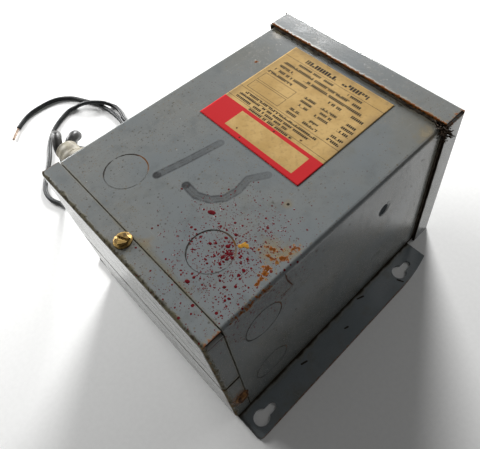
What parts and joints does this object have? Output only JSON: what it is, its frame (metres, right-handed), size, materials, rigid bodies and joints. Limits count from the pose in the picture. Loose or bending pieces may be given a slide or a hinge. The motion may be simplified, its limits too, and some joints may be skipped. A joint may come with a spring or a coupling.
{
  "type": "dry-type transformer",
  "caption": "Small wall-mounted dry-type transformer in a worn grey sheet-steel enclosure with keyhole flanges, conduit knockouts and a pair of free leads.",
  "frame": {"origin": "centre of the back plane that lies against the wall or the floor, half way up the height", "axes": "+X to the right as seen from the front, +Y up the wall towards the top cap, +Z out of the wall towards the front face"},
  "size_m": [0.3312, 0.176, 0.1132],
  "materials": {
    "enamel": "worn gloss grey enamel",
    "plate_enamel": "worn gloss grey enamel, dirty",
    "cap_enamel": "worn gloss grey enamel",
    "cover_enamel": "worn gloss grey enamel, rusted at the edges",
    "inner_steel": "dull grey paint",
    "resin": "cast resin",
    "label_paper": "aged tan paper label",
    "nylon": "cream nylon",
    "vinyl": "black vinyl",
    "lead_insulation": "gloss black insulation",
    "copper": "bare copper strands"
  },
  "bodies": {
    "root": {"enclosure_wrap": "enamel", "back_plate": "plate_enamel", "top_cap": "cap_enamel", "bottom_cover_front": "cover_enamel", "bottom_cover_rear": "cover_enamel", "inner_collar": "inner_steel", "knockout_front_left": "enamel", "knockout_front_right": "enamel", "knockout_right_fore": "enamel", "knockout_right_rear": "enamel", "knockout_left_rear": "enamel", "potted_core": "resin", "rating_label": "label_paper", "lead_bushing": "nylon", "lead_sleeve": "nylon", "lead_boot_a": "vinyl", "lead_boot_b": "vinyl", "lead_a": "lead_insulation", "lead_b": "lead_insulation", "conductor_a": "copper", "conductor_b": "copper"}
  },
  "joints": []
}
